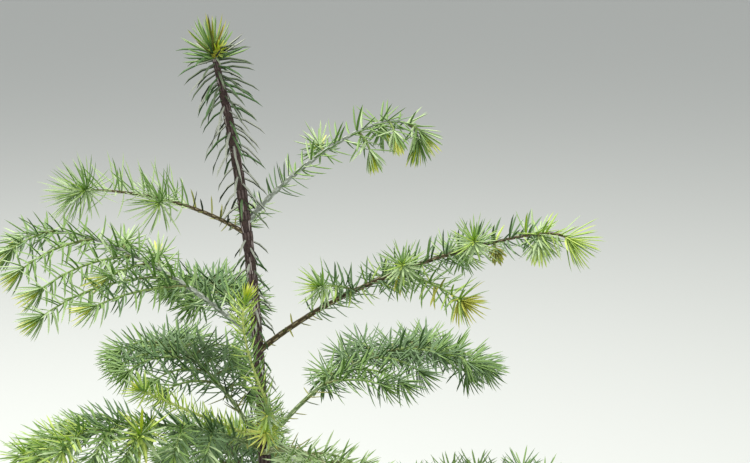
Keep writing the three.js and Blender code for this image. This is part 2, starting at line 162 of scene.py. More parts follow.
print(sum(len(whorl["boughs"]) for whorl in WHORLS), "boughs in", len(WHORLS), "whorls")

# %% [markdown]
# ## Lines that bend
# A bough is a line of short steps, each turned a little from the last, the way a stem grows. A place on it
# runs from 0 at its root to 1 at its tip. Axes carried along it without twist tell where across and above
# are, so that bark and needles can be set round it.
# %% Lines of the boughs
LINE_STEPS = 48
SAG_EASE = 1.5


def heading(bearing, tilt):
    bearing, tilt = np.radians(bearing), np.radians(tilt)
    level = np.cos(tilt)
    return np.stack([level * np.cos(bearing), level * np.sin(bearing), np.sin(tilt) + 0 * bearing], axis=-1)


def walk(start, bearings, tilts, length):
    steps = heading(bearings, tilts) * (length / len(bearings))
    return np.vstack([start, start + np.cumsum(steps, axis=0)])


def bough_line(whorl, bough):
    at = (np.arange(LINE_STEPS) + 0.5) / LINE_STEPS
    tilt = bough["rise"] + bough["sag"] * (1 - (1 - at) ** SAG_EASE) + bough["nod"] * at ** bough["hook"]
    start = trunk_point(whorl["height"] + bough["step"])
    return walk(start, bough["bearing"] + bough["turn"] * at, tilt, bough["length"])


def on_line(line, at):
    place = np.clip(at, 0, 1) * (len(line) - 1)
    return np.stack([np.interp(place, np.arange(len(line)), line[:, axis]) for axis in range(3)], axis=-1)


def unit(vector):
    return vector / np.maximum(np.linalg.norm(vector, axis=-1, keepdims=True), 1e-12)


def along_line(line, at):
    half = 0.5 / (len(line) - 1)
    return unit(on_line(line, np.asarray(at) + half) - on_line(line, np.asarray(at) - half))


def across_line(line):
    """One vector square to the line at each of its points, carried along without twist."""
    directions = along_line(line, np.linspace(0, 1, len(line)))
    level = np.cross((0, 0, 1.0), directions[0])
    across = [unit(level if np.linalg.norm(level) > 0.1 else np.array([1.0, 0, 0]))]
    for direction in directions[1:]:
        across.append(unit(across[-1] - direction * (across[-1] @ direction)))
    return np.array(across)


def axes_on(line, at):
    """Three directions at each place: along the line, across it and above it."""
    along = along_line(line, at)
    across = on_line(across_line(line), at)
    across = unit(across - along * (across * along).sum(-1, keepdims=True))
    return along, across, np.cross(along, across)


# %% The boughs as lines
BOUGHS = []
for tier, whorl in enumerate(WHORLS, start=1):
    for i, bough in enumerate(whorl["boughs"], start=1):
        name = f"tier{tier}_{bough['side']}"
        BOUGHS.append({**bough, "tier": tier, "name": name, "seed": 1000 * tier + 100 * i,
                       "radius": whorl["radius"], "line": bough_line(whorl, bough)})
TIERS = range(1, len(WHORLS) + 1)
print(len(BOUGHS), "boughs; the longest is", round(max(b["length"] for b in BOUGHS)), "mm")

# %% [markdown]
# ## A look for each bough
# No two boughs are quite alike. A look names the bark and the tones: a shoot's body takes one of the first
# tones, the needles near its tip are mixed from the next ones, and the heart is the tone at the very tip. The
# rest are measures: of the needles, of the stem's stoutness, of how deep tips and heart reach, and of the
# star of crowded needles at a tip. The pairs are angles from a shoot's upper side, for flat sprays or fuller
# ones. The end holds for a bough's own tip and its outer twigs. All lower boughs share one look.
# %% Looks
FLAT_SPRAY = (60, 106, 142, 82, 124, 34)
MOSTLY_ABOVE = (36, 78, 112, 56, 24, 92)
ALL_ROUND = (24, 84, 144, 54, 168, 112)
SIDES = (88, 60, 118, 44, 96, 140)
PLAIN_LOOK = {"needle": 11.5, "spacing": 0.8, "width": 0.92, "girth": 1.0, "lean": 66, "unevenness": 10,
              "star": 1.0, "star_needles": 28, "star_size": 1.0, "star_width": 1.0, "star_turn": 0,
              "tip_depth": 6, "heart_depth": 0.5, "pairs": FLAT_SPRAY, "end": {}}


def look(bark, body, tips, heart, **own):
    return {**PLAIN_LOOK, "bark": bark, "body": body, "tips": tips, "heart": heart, **own}


LOOKS = {
    "tier1_left": look("brown", "pale blue", "pale mid pale", "fresh", needle=15, spacing=0.42,
        width=0.6, girth=0.8, lean=62, unevenness=30, star_needles=46, star_width=1.1,
        tip_depth=4, pairs=MOSTLY_ABOVE),
    "tier1_right": look("grey", "blue mid", "mid pale", "yellow", needle=11, girth=1.1, star=0.75,
        heart_depth=1.2),
    "tier1_back": look("grey", "blue mid", "mid", "fresh", needle=6, width=0.7),
    "tier2_right": look("brown", "mid blue", "pale pale pale fresh", "bright", needle=11.2,
        spacing=0.47, width=0.84, girth=0.95, star_needles=42,
        end={"tips": "bright pale fresh", "star_size": 1.2, "tip_depth": 12}),
    "tier2_left": look("grey", "blue mid", "mid pale", "yellow", spacing=0.7, star=0.6, heart_depth=1.2),
    "tier2_back": look("green", "blue deep", "mid", "fresh"),
    "tier3_left": look("fresh", "bright", "fresh bright pale", "yellow", needle=7.2, spacing=0.25,
        width=0.56, girth=0.66, unevenness=16, star_size=1.3, star_width=1.7, pairs=ALL_ROUND),
    "tier3_front": look("fresh", "mid", "fresh bright bright", "yellow", needle=8.4, spacing=0.4,
        width=0.66, girth=0.62, lean=50, unevenness=15, star=0.5, star_size=0.9,
        tip_depth=26, heart_depth=2, pairs=SIDES),
    "tier3_left_front": look("green", "blue mid", "mid blue pale", "fresh", needle=11,
        spacing=0.38, width=0.75, girth=0.6, lean=42, unevenness=6, tip_depth=8,
        pairs=ALL_ROUND, end={"tips": "fresh mid pale mid bright", "tip_depth": 26, "width": 0.85}),
    "tier3_right_front": look("pale", "pale mid", "pale", "bright", needle=9.5, spacing=0.64),
    "tier3_right_back": look("green", "blue mid", "mid blue", "fresh", spacing=0.66, girth=0.75),
    "tier3_back": look("green", "blue deep", "mid", "fresh", girth=0.75),
}
LOWER_LOOK = look("brown", "deep blue mid", "mid", "fresh", needle=12, spacing=0.75)


def look_of(bough):
    return LOOKS.get(bough["name"], LOWER_LOOK)


print(len(LOOKS), "boughs have a look of their own")

# %% [markdown]
# ## The seeded rule for twigs
# Twigs stand right and left by turns. Each draws its angles from random numbers that start from its own seed,
# so the plant is the same on every run, and the coarse twigs of the solids fall on the same places. Finer
# twigs stand between. Of each pair of numbers below, chance adds a part of the second to the first.
# %% The rule
RANDOM_FACTOR = 1664525
RANDOM_STEP = 1013904223
RANDOM_RANGE = 2**32
WARM_UP = 4
SEED_STEP = 40
TWIG_SPACING = 21
TWIG_STEPS = 8
FINER = 3
FEWEST_TWIGS = 4
FIRST_TWIG = 0.04
TWIG_STRETCH = 0.9
TWIG_ANGLE = (50, 16)
TWIG_LENGTH = (0.85, 0.3)
TWIG_RISE = (10, 12)
TWIG_BOW = (-45, -25)
TWIG_TURN = -14
REACH_AT_ROOT = 0.65
REACH_GAIN = 0.9
REACH_POWER = 0.6


def seeded_random(seed):
    state = seed

    def draw():
        nonlocal state
        state = (state * RANDOM_FACTOR + RANDOM_STEP) % RANDOM_RANGE
        return state / RANDOM_RANGE

    for _ in range(WARM_UP):
        draw()
    return draw


def ruled_twig(bough, i, part, count):
    draw = seeded_random(bough["seed"] + i + SEED_STEP * part)

    def chance(start, more):
        return start + more * draw()

    at = FIRST_TWIG + TWIG_STRETCH * (i + part / FINER) / count
    side = 1 if (i + part) % 2 else -1
    bearing = bough["bearing"] + bough["turn"] * at + side * chance(*TWIG_ANGLE)
    reach = (1 - at) ** REACH_POWER * (REACH_AT_ROOT + REACH_GAIN * at)
    length = bough["twig"] * reach * chance(*TWIG_LENGTH)
    return {"at": at, "bearing": bearing, "length": length, "rise": chance(*TWIG_RISE),
            "bow": chance(*TWIG_BOW), "turn": TWIG_TURN * side}


def twigs_of(bough):
    twigs = list(bough["placed"])
    length = bough["length"] * (1 - bough["bare"])
    count = max(FEWEST_TWIGS, round(length / TWIG_SPACING)) if bough["twig"] else 0
    for i in range(count):
        twigs += [ruled_twig(bough, i, part, count) for part in range(FINER)]
    return twigs


print(sum(len(twigs_of(bough)) for bough in BOUGHS), "twigs, before the check for room")

# %% [markdown]
# ## Room for each bough
# The sprays of neighbouring boughs hardly mix. A twig is kept only if every part of it, past its root, is
# nearer to its own bough than to any other, and clear of the trunk.
# %% Keep to the bough's own space
SPACE_MARGIN = 1.2
TRUNK_MARGIN = 1.5
ROOT_POINTS = 2
OUTER_TWIGS = 0.62


def distance_to_line(points, line):
    start, finish = line[:-1:2][:, None], line[2::2][:, None]
    run = finish - start
    share = np.clip(((points - start) * run).sum(-1) / (run * run).sum(-1), 0, 1)
    return np.linalg.norm(points - (start + run * share[..., None]), axis=-1).min(axis=0)


def distance_to_trunk(points):
    return np.linalg.norm(points - trunk_point(np.clip(points[:, 2], 0, TRUNK_HEIGHT)), axis=-1)


def in_own_space(points, own):
    clear = distance_to_trunk(points) >= trunk_radius(points[:, 2]) + TRUNK_MARGIN
    mine = distance_to_line(points, own["line"])
    for other in BOUGHS:
        if other is not own:
            clear &= distance_to_line(points, other["line"]) > mine + SPACE_MARGIN
    return clear


def leafy_line(bough):
    return on_line(bough["line"], np.linspace(bough["bare"], 1, LINE_STEPS + 1))


SHOOTS = []
for bough in BOUGHS:
    stem = leafy_line(bough)
    own = look_of(bough)
    for twig in twigs_of(bough):
        part = (np.arange(TWIG_STEPS) + 0.5) / TWIG_STEPS
        line = walk(on_line(stem, twig["at"]), twig["bearing"] + twig["turn"] * part,
                    twig["rise"] + twig["bow"] * part, twig["length"])
        changes = twig.get("look", own["end"] if twig["at"] > OUTER_TWIGS else {})
        if in_own_space(line[ROOT_POINTS:], bough).all():
            shoot = {"bough": bough, "line": line, "length": twig["length"], "look": {**own, **changes}}
            SHOOTS.append(shoot)
print(len(SHOOTS), "twigs,", round(sum(shoot["length"] for shoot in SHOOTS) / 1000, 1), "m in all")

# %% [markdown]
# ## The camera
# The view looks from a little above, square to the two best boughs, through a fairly long lens. The whorl of
# the long right-hand bough is the landmark: its place in the picture fixes where the camera stands.
# %% Camera
LENS = 85
SENSOR = 36
DISTANCE = 673
TILT_DOWN = 12
FRAME_WIDTH = 750
FRAME_HEIGHT = 463
LANDMARK_HEIGHT = 304
LANDMARK_PIXEL = (258, 345)


def in_scene(name, data):
    thing = bpy.data.objects.new(name, data)
    bpy.context.scene.collection.objects.link(thing)
    return thing


pixel = DISTANCE * SENSOR / LENS / FRAME_WIDTH
forward = heading(90, -TILT_DOWN)
upward = heading(90, 90 - TILT_DOWN)
aim = trunk_point(LANDMARK_HEIGHT) + np.array([1.0, 0, 0]) * (FRAME_WIDTH / 2 - LANDMARK_PIXEL[0]) * pixel
aim = aim + upward * (LANDMARK_PIXEL[1] - FRAME_HEIGHT / 2) * pixel
camera_data = bpy.data.cameras.new("camera")
camera_data.lens = LENS
camera_data.sensor_width = SENSOR
camera_data.clip_start = 0.01
camera = in_scene("camera", camera_data)
camera.location = (aim - forward * DISTANCE) * MM
camera.rotation_euler = (math.radians(90 - TILT_DOWN), 0, 0)
bpy.context.scene.camera = camera
print("one pixel is", round(pixel, 3), "mm at the trunk")

# %% [markdown]
# ## Light and floor
# Needles look best in soft, bright light from the sky. A wide area light above lights the upper sides, which
# are also painted paler, a second one from the front lifts the shadows, and the world fills the rest. The
# floor is plain and pale.
# %% Light
def area_light(name, location, target, size, power, colour):
    data = bpy.data.lights.new(name, "AREA")
    data.shape = "DISK"
    data.size = size
    data.energy = power
    data.color = colour
    light = in_scene(name, data)
    light.location = location
    toward = Vector(target) - light.location
    light.rotation_euler = toward.to_track_quat("-Z", "Y").to_euler()


area_light("sky_light", (-0.5, 0.35, 1.75), (0, 0, 0.3), size=1.1, power=33, colour=(1.0, 0.985, 0.94))
area_light("front_light", (0.9, -1.3, 1.0), (0, 0, 0.25), size=1.2, power=9, colour=(0.95, 0.98, 1.0))
world = bpy.data.worlds.new("studio")
bpy.context.scene.world = world
world.use_nodes = True
sky = world.node_tree.nodes["Background"].inputs
sky["Color"].default_value = (0.96, 0.98, 0.97, 1)
sky["Strength"].default_value = 0.55
bpy.context.scene.view_settings.view_transform = "Standard"
print(len(bpy.data.lights), "area lights and an even sky")

# %% Floor
def new_finish(name):
    finish = bpy.data.materials.new(name)
    finish.use_nodes = True
    nodes = finish.node_tree.nodes
    return finish, nodes, finish.node_tree.links, nodes["Principled BSDF"]


bpy.ops.mesh.primitive_plane_add(size=60, location=(0, 20, -0.0005))
floor = bpy.context.object
floor.name = "floor"
paint, _, _, shader = new_finish("floor_paint")
shader.inputs["Base Color"].default_value = (0.72, 0.74, 0.72, 1)
shader.inputs["Roughness"].default_value = 0.9
floor.data.materials.append(paint)
floor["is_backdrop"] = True
print("the floor is", round(floor.dimensions.x), "m wide")

# %% [markdown]
# ## Finishes for bark
# Young bark is fibrous: its colour runs in fine streaks and its surface is slightly rough. One node group
# gives that from two noise textures, a coarse one for patches and a fine one for grain. The leader's bark is
# reddish brown, old boughs are brown, and young ones grey, green or yellowish. Each bark gives the group a
# dark and a light colour, and has a paler finish beside it for leaf bases.
# %% Fibre group
GRAIN_FINENESS = 3.7
PATCH_SHARE = 0.6
GRAIN_SHARE = 0.4


def maths(nodes, operation, factor):
    node = nodes.new("ShaderNodeMath")
    node.operation = operation
    node.inputs[1].default_value = factor
    return node


def mapped(nodes, ends, low, high):
    node = nodes.new("ShaderNodeMapRange")
    node.inputs[f"{ends} Min"].default_value = low
    node.inputs[f"{ends} Max"].default_value = high
    return node


def fibre_group():
    group = bpy.data.node_groups.new("bark_fibre", "ShaderNodeTree")
    for name, kind in (("Vector", "Vector"), ("Dark", "Color"), ("Light", "Color"), ("Scale", "Float")):
        group.interface.new_socket(name, in_out="INPUT", socket_type=f"NodeSocket{kind}")
    for name, kind in (("Color", "Color"), ("Height", "Float"), ("Roughness", "Float")):
        group.interface.new_socket(name, in_out="OUTPUT", socket_type=f"NodeSocket{kind}")
    nodes, links = group.nodes, group.links
    given, out = nodes.new("NodeGroupInput"), nodes.new("NodeGroupOutput")
    patch, grain = nodes.new("ShaderNodeTexNoise"), nodes.new("ShaderNodeTexNoise")
    finer = maths(nodes, "MULTIPLY", GRAIN_FINENESS)
    links.new(given.outputs["Scale"], finer.inputs[0])
    for noise, scale in ((patch, given.outputs["Scale"]), (grain, finer.outputs[0])):
        noise.inputs["Detail"].default_value = 3
        links.new(given.outputs["Vector"], noise.inputs["Vector"])
        links.new(scale, noise.inputs["Scale"])
    both = maths(nodes, "MULTIPLY_ADD", PATCH_SHARE)
    links.new(patch.outputs["Fac"], both.inputs[0])
    fine_part = maths(nodes, "MULTIPLY", GRAIN_SHARE)
    links.new(grain.outputs["Fac"], fine_part.inputs[0])
    links.new(fine_part.outputs[0], both.inputs[2])
    spread = mapped(nodes, "From", low=0.35, high=0.65)
    links.new(both.outputs[0], spread.inputs["Value"])
    tint = nodes.new("ShaderNodeMix")
    tint.data_type = "RGBA"
    links.new(spread.outputs["Result"], tint.inputs["Factor"])
    links.new(given.outputs["Dark"], tint.inputs["A"])
    links.new(given.outputs["Light"], tint.inputs["B"])
    rough = mapped(nodes, "To", low=0.6, high=0.9)
    links.new(grain.outputs["Fac"], rough.inputs["Value"])
    links.new(tint.outputs["Result"], out.inputs["Color"])
    links.new(both.outputs[0], out.inputs["Height"])
    links.new(rough.outputs["Result"], out.inputs["Roughness"])
    return group


FIBRE = fibre_group()
print(len(FIBRE.nodes), "nodes in the fibre group")

# %% Bark finishes
COLOUR_STEPS = 255
SCREEN_GAMMA = 2.2


def srgb(colour):
    """The shader's linear colour for a colour as a screen shows it."""
    return (*[(value / COLOUR_STEPS) ** SCREEN_GAMMA for value in colour], 1)


def bark_finish(name, dark, light):
    finish, nodes, links, shader = new_finish(name)
    place = nodes.new("ShaderNodeTexCoord")
    fibre = nodes.new("ShaderNodeGroup")
    fibre.node_tree = FIBRE
    fibre.inputs["Dark"].default_value = srgb(dark)
    fibre.inputs["Light"].default_value = srgb(light)
    fibre.inputs["Scale"].default_value = 900
    bump = nodes.new("ShaderNodeBump")
    bump.inputs["Strength"].default_value = 0.35
    bump.inputs["Distance"].default_value = 0.0003
    links.new(place.outputs["Object"], fibre.inputs["Vector"])
    links.new(fibre.outputs["Color"], shader.inputs["Base Color"])
    links.new(fibre.outputs["Roughness"], shader.inputs["Roughness"])
    links.new(fibre.outputs["Height"], bump.inputs["Height"])
    links.new(bump.outputs["Normal"], shader.inputs["Normal"])
    return finish


BARK = {
    "trunk": bark_finish("trunk_bark", (44, 32, 32), (84, 64, 60)),
    "trunk_base": bark_finish("trunk_leaf_base", (70, 56, 54), (118, 100, 98)),
    "brown": bark_finish("brown_bough_bark", (52, 44, 28), (92, 78, 50)),
    "brown_base": bark_finish("brown_leaf_base", (106, 96, 68), (172, 158, 126)),
    "grey": bark_finish("grey_bough_bark", (114, 120, 108), (156, 162, 150)),
    "grey_base": bark_finish("grey_leaf_base", (160, 168, 156), (206, 212, 202)),
    "fresh": bark_finish("fresh_bough_bark", (158, 176, 84), (196, 206, 118)),
    "fresh_base": bark_finish("fresh_leaf_base", (200, 206, 130), (236, 236, 180)),
    "pale": bark_finish("pale_bough_bark", (128, 140, 96), (168, 176, 128)),
    "pale_base": bark_finish("pale_leaf_base", (176, 184, 140), (222, 226, 194)),
    "green": bark_finish("green_bough_bark", (84, 104, 60), (120, 142, 88)),
    "green_base": bark_finish("green_leaf_base", (146, 166, 112), (196, 208, 158)),
    "twig": bark_finish("twig_bark", (88, 96, 54), (134, 142, 86)),
    "green_twig": bark_finish("green_twig_bark", (112, 138, 70), (156, 178, 104)),
}
print(len(BARK), "bark finishes")

# %% [markdown]
# ## A straight stem, modelled once
# The trunk and the boughs wear leaf bases: small cushions that lap upwards in a staggered pattern. A stem is
# modelled straight, where that is easy: a disc is extruded ring by ring, and every other face is inset,
# raised and pushed towards the tip. Bending comes afterwards, so one way of modelling serves them all.
# %% Model the straight stem
def straight_stem(sides, rings):
    bpy.ops.mesh.primitive_circle_add(vertices=sides, radius=1, fill_type="NGON", location=(0, 0, 0))
    stem = bpy.context.object
    bpy.ops.object.mode_set(mode="EDIT")
    bpy.ops.mesh.select_mode(type="FACE")
    bpy.ops.mesh.select_all(action="SELECT")
    for _ in range(rings):
        bpy.ops.mesh.extrude_region_move(TRANSFORM_OT_translate={"value": (0, 0, 1)})
    bpy.ops.mesh.select_all(action="SELECT")
    bpy.ops.mesh.normals_make_consistent(inside=False)
    bpy.ops.mesh.select_all(action="DESELECT")
    bpy.ops.object.mode_set(mode="OBJECT")
    for face in stem.data.polygons:
        turn = math.atan2(face.center.y, face.center.x) / (2 * math.pi / sides)
        on_side = abs(face.normal.z) < 0.5
        face.select = on_side and (math.floor(turn) + math.floor(face.center.z)) % 2 == 0
    bpy.ops.object.mode_set(mode="EDIT")
    bpy.ops.mesh.inset(thickness=0.13, depth=0.16, use_individual=True)
    bpy.ops.transform.translate(value=(0, 0, 0.22))
    stem.data.materials.append(None)
    stem.data.materials.append(None)
    stem.active_material_index = 1
    bpy.ops.object.material_slot_assign()
    bpy.ops.object.mode_set(mode="OBJECT")
    return stem


# %% Bend and join
def points_of(mesh):
    points = np.empty(len(mesh.vertices) * 3)
    mesh.vertices.foreach_get("co", points)
    return points.reshape(-1, 3)


def bent_stem(name, model, rings, line, radius_at, finishes):
    """A copy of the straight model, carried along a line and made as thick as radius_at says."""
    mesh = model.data.copy()
    stem = in_scene(name, mesh)
    points = points_of(mesh)
    at = points[:, 2] / rings
    _, across, above = axes_on(line, at)
    radius = radius_at(at)[:, None]
    bent = on_line(line, at) + (across * points[:, :1] + above * points[:, 1:2]) * radius
    mesh.vertices.foreach_set("co", (bent * MM).ravel())
    for slot, finish in enumerate(finishes):
        mesh.materials[slot] = finish
    mesh.update()
    return stem


def joined(name, pieces):
    bpy.ops.object.select_all(action="DESELECT")
    for piece in pieces:
        piece.select_set(True)
    bpy.context.view_layer.objects.active = pieces[0]
    bpy.ops.object.join()
    whole = bpy.context.object
    whole.name = name
    whole.data.name = name
    return whole


TRUNK_SIDES = 10
TRUNK_RINGS = 104
BOUGH_SIDES = 8
BOUGH_RINGS = 40
trunk_model = straight_stem(TRUNK_SIDES, TRUNK_RINGS)
bough_model = straight_stem(BOUGH_SIDES, BOUGH_RINGS)
print("the straight trunk has", len(trunk_model.data.polygons), "faces")

# %% [markdown]
# ## The trunk and the boughs
# The straight models are bent along their lines. The leader is stouter than its wood, because the bases of
# its needles clothe it, and the foot is pressed flat on the ground. A bough swells where it leaves the trunk,
# as a branch collar does, and tapers to its tip. Those of one whorl are one piece.
# %% Bend the bark along the trunk
NEEDLE_BASE_DEPTH = 0.45
CLOTHED_FROM = 300
CLOTHED_RISE = 60
TIP_FADE = 26
FOOT_DEPTH = 0.4


def bark_radius(height):
    """The trunk's radius with the needle bases, which set in above the boughs and fade at the tip."""
    clothed = np.clip((height - CLOTHED_FROM) / CLOTHED_RISE, 0, 1)
    clothed = clothed * np.clip((TRUNK_HEIGHT - height) / TIP_FADE, 0, 1)
    return trunk_radius(height) + NEEDLE_BASE_DEPTH * clothed


trunk = bent_stem("trunk_with_bark", trunk_model, TRUNK_RINGS,
                  trunk_point(np.linspace(0, TRUNK_HEIGHT, num=120)),
                  lambda at: bark_radius(at * TRUNK_HEIGHT), (BARK["trunk"], BARK["trunk_base"]))
foot = points_of(trunk.data)
foot[foot[:, 2] < FOOT_DEPTH * MM, 2] = 0
trunk.data.vertices.foreach_set("co", foot.ravel())
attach(trunk, "root")
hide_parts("trunk")
print("the foot is", round(2 * float(foot[foot[:, 2] == 0, 0].max()) / MM), "mm wide")

# %% Bend the bark along the boughs
BOUGH_TAPER = 0.62
BARK_SWELL = 1.1
COLLAR_SWELL = 0.35
COLLAR_LENGTH = 2.5


def bough_radius(bough, at):
    collar = COLLAR_SWELL * np.exp(-at * bough["length"] / COLLAR_LENGTH)
    return bough["radius"] * look_of(bough)["girth"] * (1 - BOUGH_TAPER * at) * (BARK_SWELL + collar)


def bough_with_bark(bough):
    bark = look_of(bough)["bark"]
    return bent_stem(bough["name"], bough_model, BOUGH_RINGS, bough["line"],
                     lambda at: bough_radius(bough, at), (BARK[bark], BARK[bark + "_base"]))


for tier in TIERS:
    own = [b for b in BOUGHS if b["tier"] == tier]
    boughs = joined(f"tier{tier}_boughs_with_bark", [bough_with_bark(bough) for bough in own])
    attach(boughs, "root")
    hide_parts(*[b["name"] + "_bough" for b in own])
for model in (trunk_model, bough_model):
    bpy.data.objects.remove(model)
print("bark on the trunk and", len(BOUGHS), "boughs")

# %% [markdown]
# ## Meshes from arrays
# Twigs and needles are many small copies of one simple form. Modelling them one by one would take hours, so
# their points are worked out together as arrays, and each kind becomes a few joined meshes.
# %% Mesh from arrays
def mesh_object(name, points, quads, triangles, quad_finish, triangle_finish, finishes, smooth):
    mesh = bpy.data.meshes.new(name)
    mesh.vertices.add(len(points))
    mesh.vertices.foreach_set("co", (points * MM).astype(np.float32).ravel())
    mesh.loops.add(quads.size + triangles.size)
    corners = np.concatenate([quads.ravel(), triangles.ravel()])
    mesh.loops.foreach_set("vertex_index", corners.astype(np.int32))
    mesh.polygons.add(len(quads) + len(triangles))
    starts = np.concatenate([np.arange(len(quads)) * 4, quads.size + np.arange(len(triangles)) * 3])
    mesh.polygons.foreach_set("loop_start", starts.astype(np.int32))
    finish_index = np.concatenate([quad_finish, triangle_finish])
    mesh.polygons.foreach_set("material_index", finish_index.astype(np.int32))
    mesh.polygons.foreach_set("use_smooth", np.full(len(starts), smooth))
    for finish in finishes:
        mesh.materials.append(finish)
    mesh.update(calc_edges=True)
    mesh.validate()
    return in_scene(name, mesh)


# %% [markdown]
# ## Twigs
# A twig is a thin tapering tube with a closed tip: olive brown at its root, then green, or yellowish on a
# fresh bough.
# %% Twigs
TWIG_SIDES = 6
TWIG_RADIUS = 0.6
TWIG_END_RADIUS = 0.32
TWIG_POINT = 0.6
BROWN_RINGS = 2


def twig_mesh(name, shoots, finishes):
    points, quads, triangles, quad_finish = [], [], [], []
    turns = np.arange(TWIG_SIDES) * 2 * np.pi / TWIG_SIDES
    count = 0
    for shoot in shoots:
        line = shoot["line"]
        rings = len(line)
        along = along_line(line, np.linspace(0, 1, rings))
        across = across_line(line)
        above = np.cross(along, across)
        radius = np.linspace(TWIG_RADIUS, TWIG_END_RADIUS, rings)[:, None, None]
        around = across[:, None] * np.cos(turns)[:, None] + above[:, None] * np.sin(turns)[:, None]
        body = (line[:, None] + around * radius).reshape(-1, 3)
        points += [body, line[:1], line[-1:] + along[-1:] * TWIG_POINT]
        ring = np.arange(rings - 1)[:, None] * TWIG_SIDES
        side = np.arange(TWIG_SIDES)[None]
        after = (side + 1) % TWIG_SIDES
        quad = np.stack([ring + side, ring + after, ring + TWIG_SIDES + after, ring + TWIG_SIDES + side], -1)
        quads.append(quad.reshape(-1, 4) + count)
        young = 2 if look_of(shoot["bough"])["bark"] == "fresh" else 1
        quad_finish.append(np.where(np.repeat(np.arange(rings - 1) >= BROWN_RINGS, TWIG_SIDES), young, 0))
        last = (rings - 1) * TWIG_SIDES
        foot, tip = rings * TWIG_SIDES, rings * TWIG_SIDES + 1
        caps = [np.stack([after[0], side[0], np.full(TWIG_SIDES, foot)], axis=-1),
                np.stack([last + side[0], last + after[0], np.full(TWIG_SIDES, tip)], axis=-1)]
        triangles.append(np.vstack(caps) + count)
        count += rings * TWIG_SIDES + 2
    triangles = np.vstack(triangles)
    return mesh_object(name, np.vstack(points), np.vstack(quads), triangles, np.concatenate(quad_finish),
                       np.ones(len(triangles)), finishes, True)


for tier in TIERS:
    shoots = [shoot for shoot in SHOOTS if shoot["bough"]["tier"] == tier]
    twigs = twig_mesh(f"tier{tier}_twigs", shoots, (BARK["twig"], BARK["green_twig"], BARK["fresh"]))
    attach(twigs, "root")
    print(twigs.name, len(shoots), "twigs")

# %% [markdown]
# ## Colours of the needles
# A needle is soft satin green. Its upper side is given a paler colour, partly for its pale stomatal bands and
# partly as a painted highlight from the sky. The colour changes from deep blue-green inside the plant to
# yellow-green on new growth, so there is a row of tones, each with an under colour and a paler upper colour
# that holds the painted highlight. Uneven gloss keeps them from looking like plastic.
# %% Needle finishes
def needle_finish(name, colour):
    finish, nodes, links, shader = new_finish(name)
    shader.inputs["Base Color"].default_value = srgb(colour)
    shader.inputs["Specular IOR Level"].default_value = 0.3
    place, wax = nodes.new("ShaderNodeTexCoord"), nodes.new("ShaderNodeTexNoise")
    gloss = mapped(nodes, "To", low=0.45, high=0.7)
    wax.inputs["Scale"].default_value = 700
    links.new(place.outputs["Object"], wax.inputs["Vector"])
    links.new(wax.outputs["Fac"], gloss.inputs["Value"])
    links.new(gloss.outputs["Result"], shader.inputs["Roughness"])
    return finish


# Each tone is an under colour and a paler upper colour; the upper one is partly stomatal band and partly
# painted highlight.
NEEDLE_TONES_AND_HIGHLIGHTS = {
    "deep": ((54, 80, 42), (98, 130, 82)),
    "blue": ((76, 104, 62), (122, 150, 106)),
    "mid": ((92, 126, 56), (138, 170, 100)),
    "pale": ((122, 153, 90), (188, 210, 156)),
    "fresh": ((120, 158, 56), (180, 208, 112)),
    "bright": ((150, 182, 56), (206, 226, 118)),
    "yellow": ((180, 196, 58), (226, 230, 122)),
    "dusk": ((40, 52, 36), (110, 124, 96)),
    # grey: a dark under colour and a very pale upper colour, partly pale edges and partly painted highlight
    "grey": ((46, 56, 38), (180, 184, 168)),
    "olive": ((92, 96, 40), (156, 158, 88)),
    "gold": ((134, 140, 40), (190, 192, 86)),
    "rust": ((142, 122, 54), (192, 174, 108)),
    "base": ((100, 86, 84), (178, 164, 162)),
}
TONES = list(NEEDLE_TONES_AND_HIGHLIGHTS)
NEEDLES = []
# Every tone gets two finishes: the under one, and the paler upper one that carries the painted highlight.
for tone, (under, upper) in NEEDLE_TONES_AND_HIGHLIGHTS.items():
    NEEDLES.append(needle_finish(f"needle_{tone}", under))
    NEEDLES.append(needle_finish(f"needle_{tone}_upper", upper))
print(len(NEEDLES), "needle finishes")

# %% [markdown]
# ## One needle
# A needle is a slim four-sided awl: widest a little above its root, bowed towards the tip of its twig, and
# pointed. The two faces that look up take the paler upper colour, partly stomatal band and partly painted
# highlight. Many are grown in one call, from arrays of roots, directions, upper sides, lengths, widths and
# tones.
# %% Needle meshes
NEEDLE_RINGS = np.array([0.0, 0.35, 0.78])
NEEDLE_SWELL = np.array([0.78, 1.0, 0.74])


